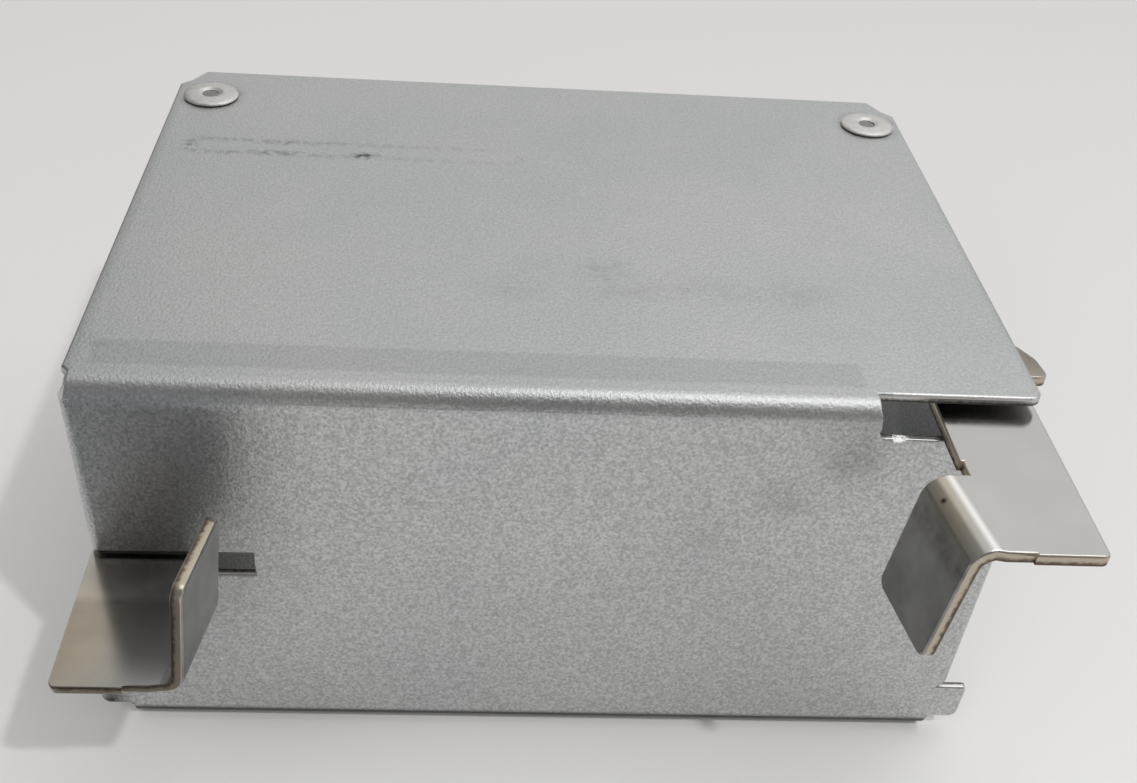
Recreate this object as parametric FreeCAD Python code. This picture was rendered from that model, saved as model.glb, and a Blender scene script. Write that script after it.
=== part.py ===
import FreeCAD, Part
import math
import os

from FreeCAD import Vector

# Power supply blank filler: a sheet box with an open back that closes an empty supply bay, and two
# spring latches whose finger flanges are squeezed together to let it out again.
# Millimetres. X runs to the right seen from the front, Y into the bay, Z up.
# The origin is the middle of the bottom face.

# Folded enclosure
body_width = 82.0
body_height = 40.6
body_depth = 62.0
sheet = 0.8
fold_radius = 1.4
side_fold_radius = 0.2

# Corners where the folded panels meet
fold_end_gap = 0.6
roof_setback = 0.3
roof_corner_radius = 1.2
wall_top_gap = 0.3
wall_foot = 0.3
wall_rear_inset = 2.0
wall_corner_radius = 2.0
bottom_inset = 1.0
cut_radius = 0.4

# Stop ears at the foot of the front panel
ear_overhang = 2.1
ear_height = 4.4
ear_radius = 0.9
ear_slit = 0.5
ear_slit_radius = 0.9
ear_relief = 4.5

# Stepped lead-in at the rear corners of the top and bottom panels
lead_in_length = 3.6
lead_in_step = 1.1
lead_in_width = 2.4

# Spring latch, one stamping that is turned over for the left side
latch_sheet = 1.0
latch_height = 19.3
latch_fold_radius = 0.6
latch_seat_gap = 0.02
plate_drop = 0.8
plate_width = 8.9
plate_front = 15.5
plate_rear = 28.0
plate_radius = 0.7
plate_step = 0.25
plate_step_width = 3.0

# Tooth that catches behind the rim of the bay
tooth_back = 8.1
tooth_reach = 2.9
tooth_crest = 2.5
tooth_crest_length = 3.0
tooth_length = 7.3
tooth_slope = 2.5
tooth_radius = 0.9
tooth_curve = 2.4

# Finger flange, turned outward towards its front and splayed inward towards its free edge
flange_back = 5.9
flange_length = 9.3
flange_reach = 11.75
flange_fold_radius = 1.1
flange_inset = 1.32
flange_turn = 8.84
flange_splay = 6.6
flange_radius = 1.1
flange_relief_width = 1.6
flange_relief_depth = 0.35
flange_front_relief = 0.8

# Upright spring leaf and the two tabs, of which the upper one is riveted
leaf_wall_gap = 0.6
leaf_strip_height = 5.1
leaf_radius = 2.0
bracket_length = 8.0
tab_rivet_margin = 5.3
tab_width = 6.8
tab_outer_margin = 2.2
tab_rear_margin = 4.7
tab_slit = 0.6
tab_radius = 2.2

# Openings for the latches in the front panel and the side walls
opening_width = 14.3
opening_radius = 0.8
window_clearance = 0.28
slot_clearance_below = 1.1
slot_clearance_above = 0.5
tooth_clearance = 2.1

# Blind rivets
rivet_side_margin = 3.9
rivet_rear_margin = 6.7
rivet_shank_radius = 1.6
rivet_hole_clearance = 0.05
rivet_head_radius = 3.0
rivet_rim_height = 0.4
rivet_head_height = 0.5
rivet_recess_radius = 1.2
rivet_recess_depth = 0.2
rivet_rim_chamfer = 0.2
rivet_bulb_radius = 2.3
rivet_bulb_height = 2.2
rivet_bulb_chamfer = 0.6
mandrel_radius = 0.9
mandrel_clearance = 0.02
mandrel_sunk = 0.05
mandrel_head_radius = 1.5
mandrel_head_height = 1.2
mandrel_head_chamfer = 0.5

# Places that follow from the sizes
half_width = body_width / 2
front = -body_depth / 2
rear = body_depth / 2
fold_outer = fold_radius + sheet
side_fold_outer = side_fold_radius + sheet
side_line = half_width - side_fold_outer
bottom_half = half_width - bottom_inset
top_underside = body_height - sheet
roof_front = front + fold_outer + roof_setback
wall_inner = half_width - sheet
wall_top = top_underside - wall_top_gap
wall_shoulder = body_height - fold_radius
ear_top = fold_outer + ear_height
wall_bottom = ear_top + ear_slit + ear_slit_radius
latch_top = top_underside - latch_seat_gap
latch_centre = latch_top - latch_height / 2
latch_bottom = latch_top - latch_height
plate_top = latch_top - plate_drop
plate_bottom = plate_top - latch_sheet
latch_fold_outer = latch_fold_radius + latch_sheet
leaf_outer = wall_inner - leaf_wall_gap
leaf_inner = leaf_outer - latch_sheet
leaf_line = leaf_outer - latch_fold_outer
rivet_x = half_width - rivet_side_margin
rivet_y = rear - rivet_rear_margin
bracket_rear = rivet_y - tab_rivet_margin
bracket_front = bracket_rear - bracket_length
opening_edge = half_width - opening_width
opening_rear = front + tooth_back + tooth_length + tooth_clearance
beyond_side = half_width + ear_overhang
hole_radius = rivet_shank_radius + rivet_hole_clearance

# Drawing planes: first and second direction, and the direction in which a profile is extruded
PLANES = {
    "XY": (Vector(1, 0, 0), Vector(0, 1, 0), Vector(0, 0, 1)),
    "XZ": (Vector(1, 0, 0), Vector(0, 0, 1), Vector(0, 1, 0)),
    "YZ": (Vector(0, 1, 0), Vector(0, 0, 1), Vector(1, 0, 0)),
}


def outline(corners, plane):
    """Closed wire through corners given as (a, b) or, for a rounded one, (a, b, radius)."""
    first, second, _ = PLANES[plane]
    points = [first * corner[0] + second * corner[1] for corner in corners]
    count = len(points)
    arrivals, departures, edges = [], [], []
    for i, corner in enumerate(corners):
        radius = corner[2] if len(corner) > 2 else 0.0
        back = (points[i - 1] - points[i]).normalize()
        ahead = (points[(i + 1) % count] - points[i]).normalize()
        half_angle = back.getAngle(ahead) / 2
        run = radius / math.tan(half_angle)
        arrivals.append(points[i] + back * run)
        departures.append(points[i] + ahead * run)
        if radius > 0.0:
            middle = (back + ahead).normalize() * (radius / math.sin(half_angle) - radius)
            edges.append(Part.Arc(arrivals[i], points[i] + middle, departures[i]).toShape())
    for i in range(count):
        start, end = departures[i], arrivals[(i + 1) % count]
        if not start.isEqual(end, 1e-6):
            edges.append(Part.LineSegment(start, end).toShape())
    return Part.Wire(Part.__sortEdges__(edges))


def prism(corners, plane, low, high):
    """Solid with the given outline between two places along the normal of its plane."""
    normal = PLANES[plane][2]
    face = Part.Face(outline(corners, plane))
    face.translate(normal * low)
    return face.extrude(normal * (high - low))


def rectangle(low, high):
    """Corners of a rectangle between two opposite corners."""
    return [low, (high[0], low[1]), high, (low[0], high[1])]


def quarter_fold(tip, first_way, second_way, inner, thickness):
    """Section of a right-angled fold whose two outer faces would meet at the tip."""
    outer = inner + thickness
    return [
        (tip[0] + first_way * outer, tip[1]),
        (tip[0] + first_way * outer, tip[1] + second_way * thickness),
        (tip[0] + first_way * thickness, tip[1] + second_way * thickness, inner),
        (tip[0] + first_way * thickness, tip[1] + second_way * outer),
        (tip[0], tip[1] + second_way * outer),
        (tip[0], tip[1], outer),
    ]


def mirrored(shape):
    """The same shape on the other side of the middle plane."""
    return shape.mirror(Vector(0, 0, 0), Vector(1, 0, 0))


def both_halves(right_corners):
    """Outline that is symmetrical about the middle plane, from its right-hand corners."""
    left_corners = [(-corner[0],) + corner[1:] for corner in reversed(right_corners)]
    return right_corners + left_corners


def rear_corner(half):
    """Stepped lead-in of a panel of the given half width."""
    return [
        (half, rear - lead_in_length, cut_radius),
        (half - lead_in_step, rear - lead_in_length + lead_in_step, cut_radius),
        (half - lead_in_width, rear, cut_radius),
    ]


def front_panel():
    """Flat front with a stop ear at each lower corner."""
    right = [
        (beyond_side, fold_outer, ear_radius),
        (beyond_side, ear_top, cut_radius),
        (side_line, ear_top),
        (side_line, body_height - fold_outer),
    ]
    return [prism(both_halves(right), "XZ", front, front + sheet)]


def top_panel():
    """Roof folded back from the front, its fold a little narrower, and bored for the rivets."""
    fold_half = half_width - fold_end_gap
    fold = prism(quarter_fold((front, body_height), 1, -1, fold_radius, sheet), "YZ", -fold_half, fold_half)
    right = [
        (fold_half, front + fold_outer),
        (half_width, front + fold_outer + fold_end_gap),
    ]
    roof = prism(both_halves(right + rear_corner(half_width)), "XY", top_underside, body_height)
    hole = Part.makeCylinder(hole_radius, sheet, Vector(rivet_x, rivet_y, top_underside))
    return [roof.cut(hole).cut(mirrored(hole)), fold]


def bottom_panel():
    """Floor folded back from the front, its fold rounded off into the ears."""
    right = [(bottom_half, front + fold_outer)] + rear_corner(bottom_half)
    floor = prism(both_halves(right), "XY", 0, sheet)
    wide = bottom_half + cut_radius
    fold = prism(quarter_fold((front, 0), 1, 1, fold_radius, sheet), "YZ", -wide, wide)
    end_cut = prism(
        [
            (bottom_half, -sheet),
            (beyond_side, -sheet),
            (beyond_side, fold_outer),
            (bottom_half, fold_outer, cut_radius),
        ],
        "XZ",
        front - sheet,
        front + fold_outer,
    )
    return [floor, fold.cut(end_cut).cut(mirrored(end_cut))]


def side_wall():
    """Right wall folded back from the front above the ear, and let down beside the floor behind it."""
    wall_rear = rear - wall_rear_inset
    wall_corners = [
        (front + side_fold_outer, wall_bottom),
        (front + ear_relief, wall_bottom, cut_radius),
        (front + ear_relief, wall_foot, wall_corner_radius),
        (wall_rear, wall_foot, wall_corner_radius),
        (wall_rear, wall_top, wall_corner_radius),
        (front + fold_outer + fold_end_gap, wall_top),
        (front + fold_outer, wall_shoulder),
        (front + side_fold_outer, wall_shoulder),
    ]
    wall = prism(wall_corners, "YZ", wall_inner, half_width)
    fold_bottom = ear_top + ear_slit
    fold_corners = quarter_fold((half_width, front), -1, 1, side_fold_radius, sheet)
    fold = prism(fold_corners, "XY", fold_bottom, wall_shoulder)
    end_keep = prism(
        [
            (side_line, fold_bottom),
            (half_width, fold_bottom, ear_slit_radius),
            (half_width, wall_shoulder),
            (side_line, wall_shoulder),
        ],
        "XZ",
        front,
        front + side_fold_outer,
    )
    return [wall, fold.common(end_keep)]


def latch_openings():
    """Window at the upper right and slot at the left, each open to its side."""
    window_bottom = plate_bottom - window_clearance
    window_corners = [
        (opening_edge, window_bottom, opening_radius),
        (beyond_side, window_bottom),
        (beyond_side, top_underside),
        (opening_edge, top_underside),
    ]
    window = prism(window_corners, "XZ", front - sheet, opening_rear)
    roof_corners = [
        (opening_edge, front - sheet),
        (beyond_side, front - sheet),
        (beyond_side, roof_front + 2 * roof_corner_radius),
        (half_width, roof_front + 2 * roof_corner_radius),
        (half_width, roof_front, roof_corner_radius),
        (opening_edge, roof_front),
    ]
    window_roof = prism(roof_corners, "XY", top_underside, body_height + sheet)
    left_plate_bottom = 2 * latch_centre - plate_top
    slot_bottom = left_plate_bottom - slot_clearance_below
    slot_top = left_plate_bottom + latch_sheet + slot_clearance_above
    slot_corners = rectangle((-beyond_side, slot_bottom), (-opening_edge, slot_top))
    slot = prism(slot_corners, "XZ", front - sheet, opening_rear)
    return [window, window_roof, slot]


def enclosure():
    """The whole folded sheet."""
    walls = side_wall()
    pieces = front_panel() + top_panel() + bottom_panel() + walls + [mirrored(wall) for wall in walls]
    shell = pieces[0].multiFuse(pieces[1:])
    return shell.cut(latch_openings()).removeSplitter()


def flange_line():
    """Rear and front end of the line where the finger flange starts to fold."""
    turn = math.radians(flange_turn)
    inner_edge = half_width - plate_width
    rear_end = Vector(inner_edge - flange_inset, front - flange_back, plate_top)
    along = Vector(math.sin(turn), -math.cos(turn), 0)
    return rear_end, rear_end + along * flange_length


def latch_plate():
    """Finger plate with the tooth on its outer edge."""
    inner_edge = half_width - plate_width
    tooth_front = front + tooth_back
    tooth_rear = tooth_front + tooth_length
    rear_end, front_end = flange_line()
    relief = inner_edge + flange_relief_depth
    stepped_front = front - plate_front + plate_step
    corners = [
        (half_width, front - plate_front, plate_radius),
        (half_width, tooth_front, cut_radius / 2),
        (half_width + tooth_reach, tooth_front, tooth_radius),
        (half_width + tooth_crest, tooth_front + tooth_crest_length, tooth_curve),
        (half_width, tooth_rear, tooth_curve),
        (leaf_line, tooth_rear + tooth_slope, cut_radius),
        (leaf_line, front + plate_rear),
        (inner_edge, front + plate_rear, leaf_radius),
        (inner_edge, rear_end.y + flange_relief_width),
        (relief, rear_end.y + flange_relief_width),
        (relief, rear_end.y),
        (rear_end.x, rear_end.y),
        (front_end.x, front_end.y),
        (front_end.x + flange_front_relief, stepped_front, cut_radius),
        (inner_edge + plate_step_width, stepped_front),
        (inner_edge + plate_step_width, front - plate_front),
    ]
    return prism(corners, "XY", plate_bottom, plate_top)


def finger_flange():
    """Flange folded down from the plate, drawn flat along -X and then bent and turned into place."""
    outer = flange_fold_radius + latch_sheet
    sweep = 90 - flange_splay
    bend = math.radians(sweep)
    straight = (flange_reach - outer * (1 - math.cos(bend))) / math.sin(bend)
    fold_axis = Vector(0, 0, -outer)
    downward = Vector(0, -1, 0)
    section = Part.Face(outline(rectangle((-flange_length, -latch_sheet), (0, 0)), "YZ"))
    fold = section.revolve(fold_axis, downward, sweep)
    leaf_corners = [
        (0, 0),
        (0, -flange_length),
        (-straight, -flange_length, flange_radius),
        (-straight, 0, flange_radius),
    ]
    leaf = prism(leaf_corners, "XY", -latch_sheet, 0)
    leaf.rotate(fold_axis, downward, sweep)
    flange = fold.fuse(leaf)
    flange.rotate(Vector(0, 0, 0), Vector(0, 0, 1), flange_turn)
    flange.translate(flange_line()[0])
    return flange


def spring_leaf():
    """Upright leaf: a head under the plate, the narrow strip that bends and the bracket behind it."""
    head_front = front + tooth_back + tooth_length + tooth_slope + tab_slit
    head_rear = front + plate_rear
    strip_top = latch_centre + leaf_strip_height / 2
    strip_bottom = latch_centre - leaf_strip_height / 2
    bracket_top = latch_top - latch_fold_outer
    bracket_bottom = latch_bottom + latch_fold_outer
    corners = [
        (head_front, plate_top - latch_fold_outer),
        (head_rear, plate_top - latch_fold_outer),
        (head_rear, strip_top, leaf_radius),
        (bracket_front, strip_top, leaf_radius),
        (bracket_front, bracket_top),
        (bracket_rear, bracket_top),
        (bracket_rear, bracket_bottom),
        (bracket_front, bracket_bottom),
        (bracket_front, strip_bottom, leaf_radius),
        (head_front, strip_bottom, leaf_radius),
    ]
    leaf = prism(corners, "YZ", leaf_inner, leaf_outer)
    fold_corners = quarter_fold((leaf_outer, plate_top), -1, -1, latch_fold_radius, latch_sheet)
    fold = prism(fold_corners, "XZ", head_front, head_rear)
    return [leaf, fold]


def rivet_tabs():
    """Two like tabs folded inward from the bracket, so that the stamping serves either side."""
    inner_edge = rivet_x + tab_outer_margin - tab_width
    corners = [
        (leaf_line, bracket_front),
        (leaf_line, bracket_rear + tab_slit),
        (rivet_x + tab_outer_margin, bracket_rear + tab_slit),
        (rivet_x + tab_outer_margin, rivet_y + tab_rear_margin, tab_radius),
        (inner_edge, rivet_y + tab_rear_margin, tab_radius),
        (inner_edge, bracket_front, cut_radius),
    ]
    pieces = []
    for outer_face, way in ((latch_top, -1), (latch_bottom, 1)):
        inner_face = outer_face + way * latch_sheet
        low, high = sorted((outer_face, inner_face))
        hole = Part.makeCylinder(hole_radius, latch_sheet, Vector(rivet_x, rivet_y, low))
        fold_corners = quarter_fold((leaf_outer, outer_face), -1, way, latch_fold_radius, latch_sheet)
        pieces.append(prism(corners, "XY", low, high).cut(hole))
        pieces.append(prism(fold_corners, "XZ", bracket_front, bracket_rear))
    return pieces


def right_latch():
    """The whole spring stamping in its right-hand place."""
    pieces = [finger_flange()] + spring_leaf() + rivet_tabs()
    return latch_plate().multiFuse(pieces).removeSplitter()


def left_latch():
    """The same stamping turned over about the long axis, with its flange standing up."""
    latch = right_latch()
    latch.rotate(Vector(0, 0, latch_centre), Vector(0, 1, 0), 180)
    return latch


def turned(profile):
    """Solid of revolution about the right-hand rivet axis from corners given as (radius, height)."""
    face = Part.Face(outline(profile, "XZ"))
    solid = face.revolve(Vector(0, 0, 0), Vector(0, 0, 1), 360)
    solid.translate(Vector(rivet_x, rivet_y, 0))
    return solid


def rivet():
    """Set blind rivet: low flat head with a recess, shank through both sheets and the bulb below them."""
    bore = mandrel_radius + mandrel_clearance
    head_top = body_height + rivet_head_height
    bulb_top = latch_top - latch_sheet - latch_seat_gap
    bulb_bottom = bulb_top - rivet_bulb_height
    rim_top = body_height + rivet_rim_height
    profile = [
        (bore, bulb_bottom),
        (rivet_bulb_radius - rivet_bulb_chamfer, bulb_bottom),
        (rivet_bulb_radius, bulb_bottom + rivet_bulb_chamfer),
        (rivet_bulb_radius, bulb_top),
        (rivet_shank_radius, bulb_top),
        (rivet_shank_radius, body_height),
        (rivet_head_radius, body_height),
        (rivet_head_radius, rim_top - rivet_rim_chamfer),
        (rivet_head_radius - rivet_rim_chamfer, rim_top),
        (rivet_recess_radius, head_top),
        (rivet_recess_radius, head_top - rivet_recess_depth),
        (bore, head_top - rivet_recess_depth),
    ]
    return turned(profile)


def mandrel():
    """Stub of the mandrel that stays in the rivet: its head below the bulb, its break in the recess."""
    break_height = body_height + rivet_head_height - rivet_recess_depth - mandrel_sunk
    seat = latch_top - latch_sheet - latch_seat_gap - rivet_bulb_height
    profile = [
        (0, seat - mandrel_head_height),
        (mandrel_head_radius - mandrel_head_chamfer, seat - mandrel_head_height),
        (mandrel_head_radius, seat - mandrel_head_height + mandrel_head_chamfer),
        (mandrel_head_radius, seat),
        (mandrel_radius, seat),
        (mandrel_radius, break_height),
        (0, break_height),
    ]
    return turned(profile)


def main():
    os.makedirs("parts", exist_ok=True)
    nodes = {
        "enclosure": enclosure(),
        "latch_right": right_latch(),
        "latch_left": left_latch(),
        "rivet_right": rivet(),
        "rivet_left": mirrored(rivet()),
        "mandrel_right": mandrel(),
        "mandrel_left": mirrored(mandrel()),
    }
    for name, shape in nodes.items():
        solids = shape.Solids
        if len(solids) != 1 or not shape.isValid():
            raise ValueError(f"{name} is not one valid solid")
        solids[0].exportStep(f"parts/{name}.step")


main()
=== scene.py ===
import math

import bmesh
import bpy
from bpy.props import FloatProperty, FloatVectorProperty, IntProperty, PointerProperty
from bpy.types import Operator, Panel, PropertyGroup
from mathutils import Matrix, Vector
from mathutils.bvhtree import BVHTree


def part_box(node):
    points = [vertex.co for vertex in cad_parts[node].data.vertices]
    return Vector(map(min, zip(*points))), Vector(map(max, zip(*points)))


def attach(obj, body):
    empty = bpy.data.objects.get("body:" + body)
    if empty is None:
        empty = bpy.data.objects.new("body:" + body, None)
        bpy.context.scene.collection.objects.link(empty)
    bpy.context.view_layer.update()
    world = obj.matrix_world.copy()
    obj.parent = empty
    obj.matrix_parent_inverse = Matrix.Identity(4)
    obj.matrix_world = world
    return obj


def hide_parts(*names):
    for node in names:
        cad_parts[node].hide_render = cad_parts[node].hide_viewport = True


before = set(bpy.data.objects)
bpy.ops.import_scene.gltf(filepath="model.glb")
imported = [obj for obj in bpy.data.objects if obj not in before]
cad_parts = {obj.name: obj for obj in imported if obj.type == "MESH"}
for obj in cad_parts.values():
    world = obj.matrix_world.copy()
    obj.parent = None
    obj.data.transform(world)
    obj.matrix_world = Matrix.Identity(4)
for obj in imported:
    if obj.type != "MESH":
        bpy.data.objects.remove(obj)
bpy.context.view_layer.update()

bl_info = {
    "name": "Power supply blank filler",
    "version": (1, 0, 0),
    "blender": (4, 5, 0),
    "location": "View3D > Sidebar > Blank filler",
    "description": "Folded zinc sheet box with two riveted spring latches, dressed over its packed solids",
    "category": "Add Mesh",
}

MM = 0.001
SIDE_SIGN = {"right": 1, "left": -1}

# One micrometre joins the loose triangles of a solid, and one degree tells a flat face from a fold.
MERGE_DISTANCE = 0.001 * MM
FLAT_ANGLE = math.radians(1)
SHARP_ANGLE = math.radians(32)
DEPTH_NAME = "punch_depth"
BURR_ROLL = 0.05 * MM

# Places of the two materials of a sheet: its two sides, and its punched edges.
SKIN, CUT = 0, 1

# A Mix node set to colours: its two colour inputs, and its output and setting.
MIX_A, MIX_B = 6, 7
COLOUR_MIX = {"out": 2, "data_type": "RGBA"}

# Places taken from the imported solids.
box_low, box_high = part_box("enclosure")
latch_low, latch_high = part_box("latch_right")
rivet_low, rivet_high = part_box("rivet_right")
front_face = box_low.y
top_face = box_high.z
latch_centre = (latch_low.z + latch_high.z) / 2
rivet_axis = (rivet_low + rivet_high) / 2


def linear(code):
    """Turn an sRGB hex code into linear red, green and blue."""
    parts = [int(code[i:i + 2], 16) / 255 for i in (0, 2, 4)]
    return tuple(c / 12.92 if c <= 0.04045 else ((c + 0.055) / 1.055) ** 2.4 for c in parts)


class SheetLook(PropertyGroup):
    thickness: FloatProperty(
        name="Sheet thickness", description="Thickness of the folded zinc-coated sheet",
        default=0.8 * MM, unit="LENGTH", subtype="DISTANCE", precision=5)
    edge_roll: FloatProperty(
        name="Edge roll", description="Rounding where the punch entered the sheet",
        default=0.28 * MM, unit="LENGTH", subtype="DISTANCE", precision=5)
    narrowest: FloatProperty(
        name="Narrowest strip", description="Fold strips below this width keep their rims unrolled",
        default=0.32 * MM, unit="LENGTH", subtype="DISTANCE", precision=5)
    grain: FloatProperty(
        name="Grain", description="Width of the coarsest pebbles of the rolled grain",
        default=0.26 * MM, unit="LENGTH", subtype="DISTANCE", precision=5)
    light: FloatVectorProperty(
        name="Zinc, raised grain", description="Colour of the raised grain",
        default=linear("D4D5D5"), size=3, subtype="COLOR", min=0, max=1)
    dark: FloatVectorProperty(
        name="Zinc, sunk grain", description="Colour between the raised grain",
        default=linear("A6A8A8"), size=3, subtype="COLOR", min=0, max=1)
    # Also the grey of the painted shade inside the box, along the foot, along the roof's side edges, round
    # the rivet heads and on the left ear.
    soil_and_shade: FloatVectorProperty(
        name="Handling marks", description="Colour of the smudges and rub marks",
        default=linear("3F413F"), size=3, subtype="COLOR", min=0, max=1)
    # Painted highlight on the rolled roof edge over the window.
    window_edge_highlight: FloatVectorProperty(
        name="Highlighted edge", description="Colour of the rolled edge over the window",
        default=linear("F6F6F4"), size=3, subtype="COLOR", min=0, max=1)
    # Painted glint: white that is not metallic, at the window's lower edge.
    glint_colour: FloatVectorProperty(
        name="Glints", description="White of the glinting zinc at the window",
        default=linear("F6F6F5"), size=3, subtype="COLOR", min=0, max=1)
    edge: FloatVectorProperty(
        name="Cut edge, sheared", description="Colour of the bright sheared band of a cut edge",
        default=linear("D2D1CF"), size=3, subtype="COLOR", min=0, max=1)
    torn: FloatVectorProperty(
        name="Cut edge, torn", description="Colour of the dull torn band of a cut edge",
        default=linear("6A6763"), size=3, subtype="COLOR", min=0, max=1)


class LatchLook(PropertyGroup):
    thickness: FloatProperty(
        name="Strip thickness", description="Thickness of the stainless spring strip",
        default=1.0 * MM, unit="LENGTH", subtype="DISTANCE", precision=5)
    edge_roll: FloatProperty(
        name="Edge roll", description="Rounding where the punch entered the strip",
        default=0.26 * MM, unit="LENGTH", subtype="DISTANCE", precision=5)
    narrowest: FloatProperty(
        name="Narrowest strip", description="Fold strips below this width keep their rims unrolled",
        default=0.2 * MM, unit="LENGTH", subtype="DISTANCE", precision=5)
    face: FloatVectorProperty(
        name="Strip face", description="Colour of the rolled stainless face",
        default=linear("C4C2BE"), size=3, subtype="COLOR", min=0, max=1)
    film: FloatVectorProperty(
        name="Finger film", description="Grey that handling leaves on the finger flange",
        default=linear("3C3D3F"), size=3, subtype="COLOR", min=0, max=1)
    stain: FloatVectorProperty(
        name="Bend stain", description="Brown left by the bending tool beside the fold",
        default=linear("5A4C43"), size=3, subtype="COLOR", min=0, max=1)
    # Painted highlight: a bright line on the fold of each finger flange, where it would mirror the light
    # overhead.
    fold_highlight: FloatVectorProperty(
        name="Lit fold", description="Colour of the line that the bending tool polished",
        default=linear("F8F6F2"), size=3, subtype="COLOR", min=0, max=1)
    straw: FloatVectorProperty(
        name="Straw tint", description="Yellow tint of old oil on the strip",
        default=linear("C8B48E"), size=3, subtype="COLOR", min=0, max=1)
    edge: FloatVectorProperty(
        name="Cut edge, sheared", description="Colour of the bright sheared band of a cut edge",
        default=linear("C4B9A8"), size=3, subtype="COLOR", min=0, max=1)
    torn: FloatVectorProperty(
        name="Cut edge, torn", description="Colour of the brown torn band of a cut edge",
        default=linear("716457"), size=3, subtype="COLOR", min=0, max=1)


class RivetLook(PropertyGroup):
    rim_height: FloatProperty(
        name="Rim height", description="Height of the head at its rim",
        default=0.34 * MM, unit="LENGTH", subtype="DISTANCE", precision=5)
    recess_radius: FloatProperty(
        name="Recess radius", description="Radius of the recess that the pulled mandrel leaves",
        default=1.15 * MM, unit="LENGTH", subtype="DISTANCE", precision=5)
    recess_depth: FloatProperty(
        name="Recess depth", description="Depth of the recess in the head",
        default=0.2 * MM, unit="LENGTH", subtype="DISTANCE", precision=5)
    break_tilt: FloatProperty(
        name="Break tilt", description="Slope of the face where the mandrel broke off",
        default=math.radians(5), unit="ROTATION", subtype="ANGLE")
    shank_radius: FloatProperty(
        name="Shank radius", description="Radius of the shank through both sheets",
        default=1.6 * MM, unit="LENGTH", subtype="DISTANCE", precision=5)
    bulb_radius: FloatProperty(
        name="Bulb radius", description="Radius of the swelling below the sheets",
        default=2.3 * MM, unit="LENGTH", subtype="DISTANCE", precision=5)
    bulb_height: FloatProperty(
        name="Bulb height", description="Height of the swelling below the sheets",
        default=2.2 * MM, unit="LENGTH", subtype="DISTANCE", precision=5)
    bore_radius: FloatProperty(
        name="Bore radius", description="Radius of the bore that holds the mandrel",
        default=0.92 * MM, unit="LENGTH", subtype="DISTANCE", precision=5)
    steps: IntProperty(
        name="Steps round", description="Number of faces round a rivet",
        default=64, min=16, max=128)
    aluminium: FloatVectorProperty(
        name="Aluminium", description="Colour of the rivet body",
        default=linear("E4E2DF"), size=3, subtype="COLOR", min=0, max=1)
    mandrel: FloatVectorProperty(
        name="Mandrel steel", description="Colour of the broken mandrel",
        default=linear("B0ACA6"), size=3, subtype="COLOR", min=0, max=1)


class StageLook(PropertyGroup):
    floor: FloatVectorProperty(
        name="Floor", description="Colour of the plain floor",
        default=linear("E2E1E0"), size=3, subtype="COLOR", min=0, max=1)
    room_light: FloatVectorProperty(
        name="Room, light side", description="Colour of the room behind the object and to its right",
        default=linear("EDEDEC"), size=3, subtype="COLOR", min=0, max=1)
    room_glow: FloatVectorProperty(
        name="Room, glow", description="Colour of the room high on the right",
        default=linear("FEFEFE"), size=3, subtype="COLOR", min=0, max=1)
    room_dark: FloatVectorProperty(
        name="Room, dark side", description="Colour of the room in front of the object and to its left",
        default=linear("878584"), size=3, subtype="COLOR", min=0, max=1)
    card: FloatVectorProperty(
        name="Shade card", description="Colour of the grey card that the metal mirrors at the front left",
        default=linear("D0D0D4"), size=3, subtype="COLOR", min=0, max=1)
    card_place: FloatVectorProperty(
        name="Shade card place", description="Middle of the shade card",
        default=(-0.1095, -0.05, 0.031), size=3, unit="LENGTH", subtype="TRANSLATION")
    floor_radius: FloatProperty(
        name="Floor radius", description="Radius of the round floor",
        default=1.6, unit="LENGTH", subtype="DISTANCE")
    key_power: FloatProperty(
        name="Key power", description="Power of the lamp at the front right",
        default=2.3, unit="POWER")
    top_power: FloatProperty(
        name="Top power", description="Power of the soft lamp overhead",
        default=1.6, unit="POWER")
    fill_power: FloatProperty(
        name="Fill power", description="Power of the large soft lamp that lightens the shadows",
        default=5.6, unit="POWER")


class BlankLook(PropertyGroup):
    sheet: PointerProperty(type=SheetLook)
    latch: PointerProperty(type=LatchLook)
    rivet: PointerProperty(type=RivetLook)
    stage: PointerProperty(type=StageLook)


def add(tree, kind, inputs=None, out=0, **settings):
    """Add a node with its settings, join or set its inputs, and give back one of its outputs."""
    made = tree.nodes.new(kind)
    for name, value in settings.items():
        setattr(made, name, value)
    for key, value in (inputs or {}).items():
        if isinstance(value, bpy.types.NodeSocket):
            tree.links.new(value, made.inputs[key])
        else:
            made.inputs[key].default_value = value
    return made.outputs[out] if len(made.outputs) else None


def rgba(colour, share=1.0):
    """Colour, or a darker share of it, with the alpha that a colour socket needs."""
    return (*(c * share for c in colour), 1.0)


def start_material(name):
    """Empty node material and the piece's own coordinates."""
    material = bpy.data.materials.new(name)
    material.use_nodes = True
    tree = material.node_tree
    tree.nodes.clear()
    return material, tree, add(tree, "ShaderNodeTexCoord", out="Object")


def close_material(tree, shader_inputs):
    """Add the shader and join it to the output."""
    shader = add(tree, "ShaderNodeBsdfPrincipled", shader_inputs)
    add(tree, "ShaderNodeOutputMaterial", {"Surface": shader})


def soft_spot(tree, place, centre, reach, strength):
    """Mask that fades from its strength at a centre to nothing at its reach, both in millimetres."""
    local = add(tree, "ShaderNodeMapping", {
        "Vector": place, "Location": Vector(centre) * MM, "Scale": Vector(reach) * MM},
        vector_type="TEXTURE")
    distance = add(tree, "ShaderNodeVectorMath", {0: local}, out="Value", operation="LENGTH")
    return add(tree, "ShaderNodeMapRange", {
        "Value": distance, "From Min": 1.0, "From Max": 0.0, "To Max": strength},
        interpolation_type="SMOOTHSTEP")


def strongest(tree, masks):
    """Mask that is everywhere the strongest of several."""
    result = masks[0]
    for mask in masks[1:]:
        result = add(tree, "ShaderNodeMath", {0: result, 1: mask}, operation="MAXIMUM")
    return result


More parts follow.
